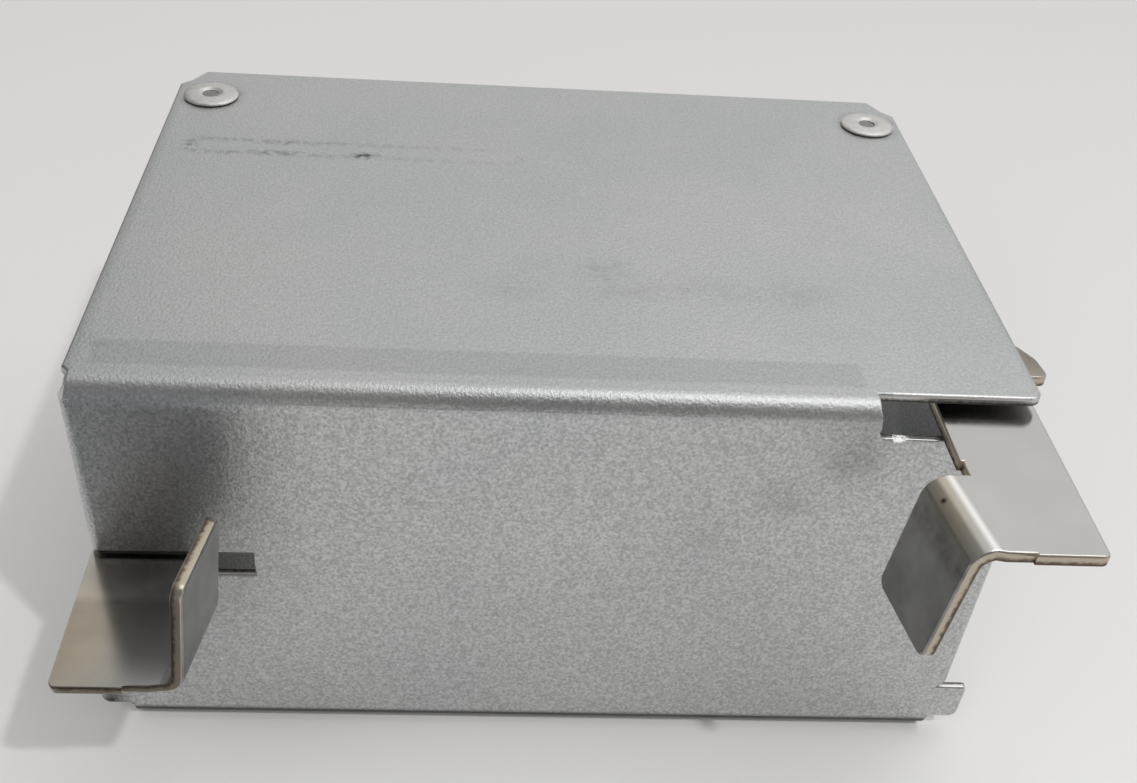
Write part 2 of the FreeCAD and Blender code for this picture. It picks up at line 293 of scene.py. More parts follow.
def between(tree, value, low, high, fade):
    """Mask of 1 where a length in metres lies between two others, with soft ends."""
    rise = add(tree, "ShaderNodeMapRange", {
        "Value": value, "From Min": low - fade, "From Max": low + fade})
    fall = add(tree, "ShaderNodeMapRange", {
        "Value": value, "From Min": high + fade, "From Max": high - fade})
    return add(tree, "ShaderNodeMath", {0: rise, 1: fall}, operation="MULTIPLY")


# Smudges on the roof, darker spots and patches on the front, and painted shade round the rivet heads and
# on the left ear, in millimetres: centre, reach along X, Y and Z, and strength.
SHEET_SMUDGES_AND_SHADE = (
    ((4.6, -10.0, 40.6), (4.0, 3.4, 2.0), 0.20),
    ((6.5, -13.6, 40.6), (6.0, 3.0, 2.0), 0.17),
    ((-3.8, -14.2, 40.6), (4.6, 3.2, 2.0), 0.12),
    ((13.2, -13.0, 40.6), (9.0, 3.6, 2.0), 0.14),
    ((21.5, -13.3, 40.6), (8.0, 3.4, 2.0), 0.15),
    ((-38.7, -25.0, 40.6), (1.6, 1.0, 2.0), 0.40),
    # Painted shade round the two rivet heads.
    ((37.1, 24.3, 40.6), (4.3, 4.3, 2.0), 2.4),
    ((-37.1, 24.3, 40.6), (4.3, 4.3, 2.0), 2.4),
    ((16.8, -31.0, 0.8), (2.6, 2.4, 2.2), 0.9),
    # Painted shadow of the left latch plate on the ear below it.
    ((-42.3, -31.0, 4.5), (3.0, 3.0, 8.0), 1.3),
    ((25.0, -31.0, 35.0), (4.5, 2.0, 3.4), 0.24),
    ((19.5, -31.0, 30.5), (5.2, 2.0, 3.6), 0.22),
    ((13.5, -31.0, 26.3), (4.6, 2.0, 3.2), 0.15),
)
# Painted shade along the foot of the front and along the roof's side edges, in millimetres: centre, reach
# and strength.
SHEET_PAINTED_SHADE = (
    ((0.0, -30.4, 0.6), (400.0, 2.6, 1.75), 3.0),
    ((-41.6, -4.0, 40.6), (2.2, 80.0, 2.0), 0.4),
    ((41.5, -10.0, 40.6), (1.5, 40.0, 2.0), 0.35),
)
# Painted glints of white on the window's lower cut edge and on the zinc beside it, in millimetres: centre,
# reach and strength.
SHEET_GLINTS = (
    ((28.45, -30.7, 37.75), (1.1, 0.7, 0.5), 3.0),
)
# Long rounded slot whose outline something rubbed onto the roof, in millimetres.
GHOST_CENTRE = (-20.3, 12.35)
GHOST_HALF_LENGTH = 15.9
GHOST_RADIUS = 1.45
GHOST_LINE = 0.75
GHOST_STRENGTH = 0.4
GHOST_SPOTS = (
    ((-37.3, 12.0, 40.6), (1.1, 1.8, 2.0), 0.9),
    ((-28.5, 11.1, 40.6), (6.5, 0.95, 2.0), 0.6),
    ((-28.0, 13.6, 40.6), (6.5, 0.9, 2.0), 0.45),
    ((-19.3, 11.3, 40.6), (2.4, 1.1, 2.0), 1.1),
)
# Band pressed into the roof by the folding tool, in millimetres along X and Y, and its strength.
TOOL_BAND = ((-39.0, 25.8), (-27.7, -24.2))
TOOL_BAND_STRENGTH = 0.13
# Painted highlight on the rolled edge over the window, in millimetres along X and Y, and its strength.
WINDOW_EDGE_HIGHLIGHT = ((27.9, 40.4), (-30.0, -28.25))
WINDOW_EDGE_HIGHLIGHT_STRENGTH = 0.8


def ghost_outline(tree, place):
    """Worn, broken line round the long slot, strongest at its left end."""
    middle_x, middle_y = GHOST_CENTRE
    side, rear, height = [add(tree, "ShaderNodeSeparateXYZ", {0: place}, out=axis) for axis in "XYZ"]
    from_middle = add(tree, "ShaderNodeMath", {0: side, 1: middle_x * MM}, operation="SUBTRACT")
    length = add(tree, "ShaderNodeMath", {0: from_middle}, operation="ABSOLUTE")
    beyond = add(tree, "ShaderNodeMath", {0: length, 1: GHOST_HALF_LENGTH * MM}, operation="SUBTRACT")
    along = add(tree, "ShaderNodeMath", {0: beyond, 1: 0.0}, operation="MAXIMUM")
    across = add(tree, "ShaderNodeMath", {0: rear, 1: middle_y * MM}, operation="SUBTRACT")
    flat = add(tree, "ShaderNodeCombineXYZ", {"X": along, "Y": across})
    distance = add(tree, "ShaderNodeVectorMath", {0: flat}, out="Value", operation="LENGTH")
    off_line = add(tree, "ShaderNodeMath", {0: distance, 1: GHOST_RADIUS * MM}, operation="SUBTRACT")
    gap = add(tree, "ShaderNodeMath", {0: off_line}, operation="ABSOLUTE")
    line = add(tree, "ShaderNodeMapRange", {
        "Value": gap, "From Min": GHOST_LINE * MM, "From Max": 0.0, "To Max": GHOST_STRENGTH})
    fade = add(tree, "ShaderNodeMapRange", {
        "Value": from_middle, "From Min": -18 * MM, "From Max": 17 * MM, "To Min": 1.0, "To Max": 0.25})
    on_roof = add(tree, "ShaderNodeMapRange", {
        "Value": height, "From Min": top_face - 0.4 * MM, "From Max": top_face - 0.1 * MM})
    faded = add(tree, "ShaderNodeMath", {0: line, 1: fade}, operation="MULTIPLY")
    return add(tree, "ShaderNodeMath", {0: faded, 1: on_roof}, operation="MULTIPLY")


def roof_patch(tree, place, patch, fade, strength):
    """Mask of a rectangle on the roof with soft sides."""
    (left, right), (near, far) = patch
    side, rear, height = [add(tree, "ShaderNodeSeparateXYZ", {0: place}, out=axis) for axis in "XYZ"]
    across = between(tree, side, left * MM, right * MM, fade)
    along = between(tree, rear, near * MM, far * MM, fade)
    on_roof = add(tree, "ShaderNodeMapRange", {
        "Value": height, "From Min": top_face - 0.6 * MM, "From Max": top_face - 0.3 * MM,
        "To Max": strength})
    flat = add(tree, "ShaderNodeMath", {0: across, 1: along}, operation="MULTIPLY")
    return add(tree, "ShaderNodeMath", {0: flat, 1: on_roof}, operation="MULTIPLY")


def zinc_sheet(look):
    """Skin-passed steel with a thin zinc coat: an even satin grey, broken by a fine pebbled grain."""
    material, tree, place = start_material("zinc_coated_steel_sheet")
    rolled = add(tree, "ShaderNodeMapping", {"Vector": place, "Scale": (1.0, 0.75, 1.0)})
    grain = add(tree, "ShaderNodeTexNoise", {
        "Vector": rolled, "Scale": 1 / look.grain, "Detail": 3.0, "Roughness": 0.6})
    height = add(tree, "ShaderNodeSeparateXYZ", {0: place}, out="Z")
    # The roof was rubbed smoother than the other sides, so its grain is fainter.
    faintest = add(tree, "ShaderNodeMapRange", {
        "Value": height, "From Min": top_face - 1.5 * MM, "From Max": top_face - 0.3 * MM,
        "To Max": 0.3})
    strongest_grain = add(tree, "ShaderNodeMath", {0: 1.0, 1: faintest}, operation="SUBTRACT")
    contrast = add(tree, "ShaderNodeMapRange", {
        "Value": grain, "From Min": 0.33, "From Max": 0.67,
        "To Min": faintest, "To Max": strongest_grain})
    zinc = add(tree, "ShaderNodeMix", {0: contrast, MIX_A: rgba(look.dark), MIX_B: rgba(look.light)},
               **COLOUR_MIX)
    cloud = add(tree, "ShaderNodeTexNoise", {"Vector": place, "Scale": 1 / (16 * MM), "Detail": 3.0})
    clouded = add(tree, "ShaderNodeMapRange", {"Value": cloud, "From Min": 0.3, "From Max": 0.7})
    tint = add(tree, "ShaderNodeMix", {
        0: clouded, MIX_A: (0.92, 0.93, 0.93, 1), MIX_B: (1.0, 0.995, 0.985, 1)}, **COLOUR_MIX)
    tinted = add(tree, "ShaderNodeMix", {0: 1.0, MIX_A: zinc, MIX_B: tint},
                 blend_type="MULTIPLY", **COLOUR_MIX)
    # Smudges, with painted shade round the rivet heads and on the left ear.
    smudges_and_shade = strongest(tree, [soft_spot(tree, place, *row) for row in SHEET_SMUDGES_AND_SHADE])
    outline = ghost_outline(tree, place)
    rubbing = strongest(tree, [outline] + [soft_spot(tree, place, *row) for row in GHOST_SPOTS])
    patchy = add(tree, "ShaderNodeTexNoise", {
        "Vector": place, "Scale": 1 / (1.6 * MM), "Detail": 3.0, "Roughness": 0.7})
    breaks = add(tree, "ShaderNodeMapRange", {"Value": patchy, "From Min": 0.32, "From Max": 0.66})
    smeared = add(tree, "ShaderNodeMath", {0: smudges_and_shade, 1: breaks}, operation="MULTIPLY")
    hatched = add(tree, "ShaderNodeMapRange", {"Value": grain, "From Min": 0.32, "From Max": 0.56})
    flecks = add(tree, "ShaderNodeTexNoise", {"Vector": place, "Scale": 1 / (0.75 * MM), "Detail": 2.0})
    dashes = add(tree, "ShaderNodeMapRange", {"Value": flecks, "From Min": 0.38, "From Max": 0.62})
    rubbed = add(tree, "ShaderNodeMath", {0: rubbing, 1: dashes}, operation="MULTIPLY")
    depth = add(tree, "ShaderNodeAttribute", out="Fac", attribute_name=DEPTH_NAME)
    # Painted shade: the inner skin is darkened towards the grey of the handling marks, for the shade
    # inside the box.
    inner_shade = add(tree, "ShaderNodeMapRange", {
        "Value": depth, "From Min": 0.6, "From Max": 0.9, "To Max": 0.38})
    # Painted shade along the foot and along the roof's side edges.
    painted_shade = [soft_spot(tree, place, *row) for row in SHEET_PAINTED_SHADE]
    pressed = roof_patch(tree, place, TOOL_BAND, 0.2 * MM, TOOL_BAND_STRENGTH)
    # Real marks and painted shade together set how far the colour goes towards the grey of the handling
    # marks.
    soil_and_shade_mask = strongest(tree, [smeared, rubbed, pressed, inner_shade, *painted_shade])
    soiled_and_shaded = add(tree, "ShaderNodeMix", {0: soil_and_shade_mask, MIX_A: tinted, MIX_B: rgba(look.soil_and_shade)},
                 **COLOUR_MIX)
    # Painted highlight on the rolled edge over the window.
    edge_highlight_mask = roof_patch(tree, place, WINDOW_EDGE_HIGHLIGHT, 0.12 * MM, WINDOW_EDGE_HIGHLIGHT_STRENGTH)
    edge_highlighted = add(tree, "ShaderNodeMix", {0: edge_highlight_mask, MIX_A: soiled_and_shaded, MIX_B: rgba(look.window_edge_highlight)},
                    **COLOUR_MIX)
    # Painted glint: white, not metallic, at the window's lower edge.
    glint_spots = strongest(tree, [soft_spot(tree, place, *row) for row in SHEET_GLINTS])
    painted_glints = add(tree, "ShaderNodeMath", {0: glint_spots, 1: hatched}, operation="MULTIPLY", use_clamp=True)
    colour = add(tree, "ShaderNodeMix", {0: painted_glints, MIX_A: edge_highlighted, MIX_B: rgba(look.glint_colour)},
                 **COLOUR_MIX)
    metal = add(tree, "ShaderNodeMath", {0: 1.0, 1: painted_glints}, operation="SUBTRACT")
    rough = add(tree, "ShaderNodeMapRange", {
        "Value": cloud, "From Min": 0.3, "From Max": 0.7, "To Min": 0.32, "To Max": 0.38})
    bump = add(tree, "ShaderNodeBump", {"Height": grain, "Strength": 0.8, "Distance": 0.06 * MM})
    close_material(tree, {"Base Color": colour, "Metallic": metal, "Roughness": rough, "Normal": bump})
    return material


def punched_edge(name, look, painted_glints=()):
    """Punched edge of a sheet: a bright sheared band, then a dull torn one, and a thin bright burr."""
    material, tree, place = start_material(name)
    depth = add(tree, "ShaderNodeAttribute", out="Fac", attribute_name=DEPTH_NAME)
    ragged = add(tree, "ShaderNodeTexNoise", {"Vector": place, "Scale": 1 / (0.5 * MM), "Detail": 4.0})
    shift = add(tree, "ShaderNodeMapRange", {"Value": ragged, "To Min": -0.3, "To Max": 0.3})
    level = add(tree, "ShaderNodeMath", {0: depth, 1: shift}, operation="ADD")
    torn = add(tree, "ShaderNodeMapRange", {"Value": level, "From Min": 0.4, "From Max": 0.85},
               interpolation_type="SMOOTHSTEP")
    burr = add(tree, "ShaderNodeMapRange", {
        "Value": depth, "From Min": 0.88, "From Max": 1.0, "To Max": 0.7})
    dull = add(tree, "ShaderNodeMath", {0: torn, 1: burr}, operation="SUBTRACT", use_clamp=True)
    lines = add(tree, "ShaderNodeTexNoise", {"Vector": place, "Scale": 1 / (0.18 * MM), "Detail": 2.0})
    bright = add(tree, "ShaderNodeMix", {0: lines, MIX_A: rgba(look.edge, 0.8), MIX_B: rgba(look.edge)},
                 **COLOUR_MIX)
    dark = add(tree, "ShaderNodeMix", {0: lines, MIX_A: rgba(look.torn, 0.6), MIX_B: rgba(look.torn)},
               **COLOUR_MIX)
    colour = add(tree, "ShaderNodeMix", {0: dull, MIX_A: bright, MIX_B: dark}, **COLOUR_MIX)
    metal = 1.0
    # Painted glints: streaks of non-metallic white on the cut edge.
    if painted_glints:
        glint_spots = strongest(tree, [soft_spot(tree, place, *row) for row in painted_glints])
        streaks = add(tree, "ShaderNodeMapRange", {"Value": lines, "From Min": 0.44, "From Max": 0.54})
        white = add(tree, "ShaderNodeMath", {0: glint_spots, 1: streaks}, operation="MULTIPLY", use_clamp=True)
        colour = add(tree, "ShaderNodeMix", {0: white, MIX_A: colour, MIX_B: rgba(look.glint_colour)},
                     **COLOUR_MIX)
        metal = add(tree, "ShaderNodeMath", {0: 1.0, 1: white}, operation="SUBTRACT")
    rough = add(tree, "ShaderNodeMapRange", {"Value": dull, "To Min": 0.28, "To Max": 0.55})
    bump = add(tree, "ShaderNodeBump", {"Height": ragged, "Strength": 0.4, "Distance": 0.04 * MM})
    close_material(tree, {"Base Color": colour, "Metallic": metal, "Roughness": rough, "Normal": bump})
    return material


# Specks and rubs on the latches, and painted shade on the rear of the left plate and on the tooth, in
# millimetres: centre, reach and strength.
LATCH_SPECKS_AND_SHADE = (
    ((29.6, -39.7, 38.6), (0.5, 0.5, 0.5), 2.0),
    ((-37.0, -36.9, 22.3), (2.2, 0.8, 0.6), 0.35),
    ((-28.9, -41.7, 33.0), (1.2, 0.35, 0.8), 0.7),
    # Painted shade on the rear of the left plate, where it mirrors the flange and the front's underside.
    ((-33.8, -35.5, 21.0), (7.0, 10.0, 3.0), 0.85),
    ((-35.6, -32.6, 21.6), (8.0, 6.0, 2.2), 0.9),
    # Painted shade on the tooth of the right latch.
    ((43.0, -19.5, 38.9), (4.2, 8.0, 3.0), 0.6),
)

# Straw tints on the latches, in millimetres: centre, reach and strength.
LATCH_TINTS = (
    ((-41.0, -41.0, 20.5), (9.0, 14.0, 5.0), 0.75),
    ((43.0, -19.5, 38.9), (3.2, 7.0, 2.5), 0.4),
    ((29.8, -41.0, 38.6), (2.2, 9.0, 3.0), 0.45),
)

# Rear end of the line where the finger flange starts to fold, in millimetres with all signs dropped,
# and the line's turn from the Y axis.
FOLD_START = (30.78, 36.9, 0.0)
FOLD_TURN = math.radians(8.84)


def spring_strip(look):
    """Cold-rolled stainless strip: warm grey satin, faintly clouded, browned beside the finger fold."""
    material, tree, place = start_material("cold_rolled_stainless_strip")
    cloud = add(tree, "ShaderNodeTexNoise", {
        "Vector": place, "Scale": 1 / (5 * MM), "Detail": 4.0, "Roughness": 0.6})
    face = add(tree, "ShaderNodeMix", {0: cloud, MIX_A: rgba(look.face, 0.84), MIX_B: rgba(look.face)},
               **COLOUR_MIX)
    rear, height = [add(tree, "ShaderNodeSeparateXYZ", {0: place}, out=axis) for axis in "YZ"]
    above_centre = add(tree, "ShaderNodeMath", {0: height, 1: latch_centre}, operation="SUBTRACT")
    from_centre = add(tree, "ShaderNodeMath", {0: above_centre}, operation="ABSOLUTE")
    beside_fold = between(tree, from_centre, 5.4 * MM, 7.0 * MM, 0.8 * MM)
    ahead = add(tree, "ShaderNodeMapRange", {
        "Value": rear, "From Min": front_face - 5.0 * MM, "From Max": front_face - 6.0 * MM})
    streak = add(tree, "ShaderNodeTexNoise", {"Vector": place, "Scale": 1 / (1.2 * MM), "Detail": 3.0})
    streaky = add(tree, "ShaderNodeMapRange", {
        "Value": streak, "From Min": 0.35, "From Max": 0.7, "To Max": 0.55})
    stained = add(tree, "ShaderNodeMath", {0: beside_fold, 1: ahead}, operation="MULTIPLY")
    stain = add(tree, "ShaderNodeMath", {0: stained, 1: streaky}, operation="MULTIPLY")
    oiled = strongest(tree, [soft_spot(tree, place, *row) for row in LATCH_TINTS])
    tinted = add(tree, "ShaderNodeMix", {0: oiled, MIX_A: face, MIX_B: rgba(look.straw)}, **COLOUR_MIX)
    browned = add(tree, "ShaderNodeMix", {0: stain, MIX_A: tinted, MIX_B: rgba(look.stain)},
                  **COLOUR_MIX)
    on_flange = add(tree, "ShaderNodeMapRange", {
        "Value": from_centre, "From Min": 8.4 * MM, "From Max": 7.2 * MM})
    handled = add(tree, "ShaderNodeMath", {0: on_flange, 1: ahead}, operation="MULTIPLY")
    smeared = add(tree, "ShaderNodeMapRange", {
        "Value": cloud, "From Min": 0.35, "From Max": 0.65, "To Min": 0.36, "To Max": 0.62})
    depth = add(tree, "ShaderNodeAttribute", out="Fac", attribute_name=DEPTH_NAME)
    hollow = add(tree, "ShaderNodeMapRange", {
        "Value": depth, "From Min": 0.6, "From Max": 0.9, "To Max": 0.12})
    grimed = add(tree, "ShaderNodeMath", {0: smeared, 1: hollow}, operation="ADD")
    film = add(tree, "ShaderNodeMath", {0: handled, 1: grimed}, operation="MULTIPLY")
    filmed = add(tree, "ShaderNodeMix", {0: film, MIX_A: browned, MIX_B: rgba(look.film)}, **COLOUR_MIX)
    # Painted highlight along the fold of each finger flange. Both latches are the same stamping turned
    # over, so one line serves both.
    one_side = add(tree, "ShaderNodeVectorMath", {0: place}, operation="ABSOLUTE")
    along_fold = add(tree, "ShaderNodeMapping", {
        "Vector": one_side, "Location": Vector(FOLD_START) * MM, "Rotation": (0, 0, -FOLD_TURN)},
        vector_type="TEXTURE")
    off_fold = add(tree, "ShaderNodeSeparateXYZ", {0: along_fold}, out="X")
    at_fold = between(tree, off_fold, -0.3 * MM, 0.2 * MM, 0.2 * MM)
    outside = add(tree, "ShaderNodeMapRange", {
        "Value": depth, "From Min": 0.5, "From Max": 0.2, "To Max": 0.85})
    highlit = add(tree, "ShaderNodeMath", {0: at_fold, 1: outside}, operation="MULTIPLY")
    fold_highlight = add(tree, "ShaderNodeMath", {0: highlit, 1: ahead}, operation="MULTIPLY")
    fold_highlit_colour = add(tree, "ShaderNodeMix", {0: fold_highlight, MIX_A: filmed, MIX_B: rgba(look.fold_highlight)},
                **COLOUR_MIX)
    # Specks and rubs, and painted shade on the left plate and the tooth, in a dark share of the stain
    # brown.
    specks_and_shade = strongest(tree, [soft_spot(tree, place, *row) for row in LATCH_SPECKS_AND_SHADE])
    colour = add(tree, "ShaderNodeMix", {0: specks_and_shade, MIX_A: fold_highlit_colour, MIX_B: rgba(look.stain, 0.3)},
                 **COLOUR_MIX)
    rough = add(tree, "ShaderNodeMapRange", {
        "Value": cloud, "From Min": 0.3, "From Max": 0.7, "To Min": 0.15, "To Max": 0.22})
    close_material(tree, {"Base Color": colour, "Metallic": 1.0, "Roughness": rough})
    return material


def rivet_aluminium(look):
    """Drawn aluminium of a blind rivet: pale satin, a little mottled where the tool pressed it."""
    material, tree, place = start_material("drawn_aluminium_rivet")
    mottle = add(tree, "ShaderNodeTexNoise", {"Vector": place, "Scale": 1 / (0.8 * MM), "Detail": 4.0})
    colour = add(tree, "ShaderNodeMix", {
        0: mottle, MIX_A: rgba(look.aluminium, 0.65), MIX_B: rgba(look.aluminium)}, **COLOUR_MIX)
    rough = add(tree, "ShaderNodeMapRange", {
        "Value": mottle, "From Min": 0.3, "From Max": 0.7, "To Min": 0.4, "To Max": 0.55})
    bump = add(tree, "ShaderNodeBump", {"Height": mottle, "Strength": 0.5, "Distance": 0.12 * MM})
    close_material(tree, {"Base Color": colour, "Metallic": 1.0, "Roughness": rough, "Normal": bump})
    return material


def mandrel_steel(look):
    """Plain steel wire, torn off by the rivet tool: dark and rough."""
    material, tree, place = start_material("broken_steel_mandrel")
    torn = add(tree, "ShaderNodeTexNoise", {"Vector": place, "Scale": 1 / (0.3 * MM), "Detail": 4.0})
    colour = add(tree, "ShaderNodeMix", {
        0: torn, MIX_A: rgba(look.mandrel, 0.3), MIX_B: rgba(look.mandrel)}, **COLOUR_MIX)
    bump = add(tree, "ShaderNodeBump", {"Height": torn, "Strength": 0.6, "Distance": 0.06 * MM})
    close_material(tree, {"Base Color": colour, "Metallic": 1.0, "Roughness": 0.5, "Normal": bump})
    return material


def floor_board(look):
    """Smooth white board: matt, so that it takes soft shadows and no clear reflection."""
    material, tree, place = start_material("matt_white_board")
    tone = add(tree, "ShaderNodeTexNoise", {"Vector": place, "Scale": 1 / (120 * MM), "Detail": 1.0})
    colour = add(tree, "ShaderNodeMix", {
        0: tone, MIX_A: rgba(look.floor, 0.98), MIX_B: rgba(look.floor)}, **COLOUR_MIX)
    close_material(tree, {"Base Color": colour, "Roughness": 0.55})
    return material


def grey_card(look):
    """Matt grey paper: the metal mirrors its shaded side as a soft dark patch."""
    material, tree, _ = start_material("matt_grey_paper")
    close_material(tree, {"Base Color": rgba(look.card), "Roughness": 0.9})
    return material


def soft_room(look):
    """Plain pale room: darker before the object and to its left, lightest up on its right."""
    world = bpy.data.worlds.new("soft_room")
    world.use_nodes = True
    tree = world.node_tree
    tree.nodes.clear()
    way = add(tree, "ShaderNodeTexCoord", out="Generated")
    across = add(tree, "ShaderNodeSeparateXYZ", {0: way}, out="X")
    upward = add(tree, "ShaderNodeSeparateXYZ", {0: way}, out="Z")
    to_viewer = add(tree, "ShaderNodeVectorMath", {0: way, 1: (-0.15, -0.8, 0.58)},
                    out="Value", operation="DOT_PRODUCT")
    near_viewer = add(tree, "ShaderNodeMapRange", {
        "Value": to_viewer, "From Min": 0.45, "From Max": 0.85}, interpolation_type="SMOOTHSTEP")
    over_table = add(tree, "ShaderNodeMapRange", {
        "Value": upward, "From Min": 0.22, "From Max": 0.42}, interpolation_type="SMOOTHSTEP")
    ahead = add(tree, "ShaderNodeMath", {0: near_viewer, 1: over_table}, operation="MULTIPLY")
    aside = add(tree, "ShaderNodeMapRange", {
        "Value": across, "From Min": -0.2, "From Max": -0.5, "To Max": 0.85},
        interpolation_type="SMOOTHSTEP")
    shade = strongest(tree, [ahead, aside])
    to_glow = add(tree, "ShaderNodeVectorMath", {0: way, 1: (0.5, 0.45, 0.74)},
                  out="Value", operation="DOT_PRODUCT")
    glow = add(tree, "ShaderNodeMapRange", {
        "Value": to_glow, "From Min": 0.75, "From Max": 0.95}, interpolation_type="SMOOTHSTEP")
    bright = add(tree, "ShaderNodeMix", {
        0: glow, MIX_A: rgba(look.room_light), MIX_B: rgba(look.room_glow)}, **COLOUR_MIX)
    colour = add(tree, "ShaderNodeMix", {0: shade, MIX_A: bright, MIX_B: rgba(look.room_dark)},
                 **COLOUR_MIX)
    lift = add(tree, "ShaderNodeMapRange", {
        "Value": upward, "From Min": 0.38, "From Max": 0.6, "To Min": 0.84, "To Max": 1.0})
    # The matt floor gets less of the room than the metal mirrors, and the lamps make up for it.
    matt = add(tree, "ShaderNodeLightPath", out="Is Diffuse Ray")
    kept = add(tree, "ShaderNodeMapRange", {"Value": matt, "To Min": 1.0, "To Max": 0.7})
    strength = add(tree, "ShaderNodeMath", {0: lift, 1: kept}, operation="MULTIPLY")
    background = add(tree, "ShaderNodeBackground", {"Color": colour, "Strength": strength})
    add(tree, "ShaderNodeOutputWorld", {"Surface": background})
    return world


def link_piece(name, bm, materials):
    """Make an object at the origin from a bmesh and give it its materials."""
    mesh = bpy.data.meshes.new(name)
    for face in bm.faces:
        face.smooth = True
    bm.to_mesh(mesh)
    bm.free()
    for material in materials:
        mesh.materials.append(material)
    mesh.set_sharp_from_angle(angle=SHARP_ANGLE)
    piece = bpy.data.objects.new(name, mesh)
    bpy.context.scene.collection.objects.link(piece)
    return piece


def smooth_runs(bm):
    """Faces in runs that join over flats and folds but not over sharp edges, largest run first."""
    left = set(bm.faces)
    runs = []
    while left:
        run, waiting = [], [left.pop()]
        while waiting:
            face = waiting.pop()
            run.append(face)
            gentle = [
                edge for edge in face.edges
                if edge.is_manifold and edge.calc_face_angle() < SHARP_ANGLE]
            beside = {other for edge in gentle for other in edge.link_faces} & left
            left -= beside
            waiting.extend(beside)
        runs.append(run)
    return sorted(runs, key=lambda run: sum(face.calc_area() for face in run), reverse=True)


def rims(bm, narrowest):
    """Sharp outer edges, but not those beside a strip of a tight fold too narrow to be rolled."""
    narrow = set()
    for face in bm.faces:
        longest = max(edge.calc_length() for edge in face.edges)
        if face.material_index == SKIN and face.calc_area() <= narrowest * longest:
            narrow.update(face.edges)
    sharp = [
        edge for edge in bm.edges
        if edge.is_manifold and edge.is_convex and edge.calc_face_angle() > SHARP_ANGLE]
    return [edge for edge in sharp if edge not in narrow]


def rolled_sheet(node_name, look):
    """Merged copy of a sheet solid with its punched edges rolled over and their depth stored."""
    bm = bmesh.new()
    bm.from_mesh(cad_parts[node_name].data)
    bmesh.ops.remove_doubles(bm, verts=bm.verts[:], dist=MERGE_DISTANCE)
    bmesh.ops.dissolve_limit(bm, angle_limit=FLAT_ANGLE, verts=bm.verts[:], edges=bm.edges[:])
    bm.verts.index_update()
    # The two largest runs are the two sides of the sheet, and the rest was cut by the punch.
    entered, left_by, *cut = smooth_runs(bm)
    for face in entered + left_by:
        face.material_index = SKIN
    for face in [face for run in cut for face in run]:
        face.material_index = CUT
    points = [vert.co.copy() for vert in bm.verts]
    skin_tree = BVHTree.FromPolygons(points, [[vert.index for vert in face.verts] for face in entered])
    entry_faces = set(entered)
    entry = [edge for edge in rims(bm, look.narrowest) if entry_faces.intersection(edge.link_faces)]
    bmesh.ops.bevel(bm, geom=entry, offset=look.edge_roll, offset_type="OFFSET", affect="EDGES",
                    segments=3, profile=0.5, material=-1, clamp_overlap=False)
    burred = rims(bm, look.narrowest)
    bmesh.ops.bevel(bm, geom=burred, offset=BURR_ROLL, offset_type="OFFSET", affect="EDGES",
                    segments=1, profile=0.5, material=-1, clamp_overlap=False)
    bmesh.ops.dissolve_degenerate(bm, dist=MERGE_DISTANCE, edges=bm.edges[:])
    depth = bm.verts.layers.float.new(DEPTH_NAME)
    for vert in bm.verts:
        vert[depth] = min(1.0, skin_tree.find_nearest(vert.co)[3] / look.thickness)
    return bm


def even_normals(piece):
    """Let the large flat faces keep flat shading beside their rolled edges and folds."""
    modifier = piece.modifiers.new("even_normals", "WEIGHTED_NORMAL")
    modifier.keep_sharp = True
    modifier.weight = 100


def turned(profile, axis, steps):
    """Spin a closed profile of (radius, height) once round an upright axis."""
    bm = bmesh.new()
    ring = [bm.verts.new((axis.x + radius, axis.y, height)) for radius, height in profile]
    edges = [bm.edges.new((ring[i - 1], ring[i])) for i in range(len(ring))]
    bmesh.ops.spin(bm, geom=ring + edges, cent=(axis.x, axis.y, 0), axis=(0, 0, 1),
                   angle=math.tau, steps=steps, use_merge=True)
    bmesh.ops.remove_doubles(bm, verts=bm.verts[:], dist=MERGE_DISTANCE)
    bmesh.ops.recalc_face_normals(bm, faces=bm.faces[:])
    return bm


def rivet_profile(look):
    """Half section of the set rivet: bulb, shank and low domed head with its recess."""
    head_radius = (rivet_high.x - rivet_low.x) / 2
    head_top = rivet_high.z
    bulb_bottom = rivet_low.z
    bulb_top = bulb_bottom + look.bulb_height
    rim_top = top_face + look.rim_height
    recess_floor = head_top - look.recess_depth
    bulb = [
        (look.bore_radius, bulb_bottom),
        (look.bulb_radius - 0.7 * MM, bulb_bottom),
        (look.bulb_radius - 0.2 * MM, bulb_bottom + 0.25 * MM),
        (look.bulb_radius, bulb_bottom + 0.8 * MM),
        (look.bulb_radius, bulb_top - 0.5 * MM),
        (look.bulb_radius - 0.15 * MM, bulb_top),
    ]
    shank = [(look.shank_radius, bulb_top), (look.shank_radius, top_face)]
    head = [
        (head_radius - 0.2 * MM, top_face),
        (head_radius - 0.05 * MM, top_face + 0.07 * MM),
        (head_radius, top_face + 0.16 * MM),
        (head_radius - 0.06 * MM, rim_top - 0.08 * MM),
        (head_radius - 0.2 * MM, rim_top),
        (head_radius - 0.6 * MM, rim_top + 0.08 * MM),
        (head_radius - 1.1 * MM, head_top - 0.03 * MM),
        (look.recess_radius + 0.3 * MM, head_top),
    ]
    recess = [
        (look.recess_radius + 0.1 * MM, head_top - 0.03 * MM),
        (look.recess_radius - 0.05 * MM, recess_floor + 0.05 * MM),
        (look.bore_radius, recess_floor),
    ]
    return bulb + shank + head + recess


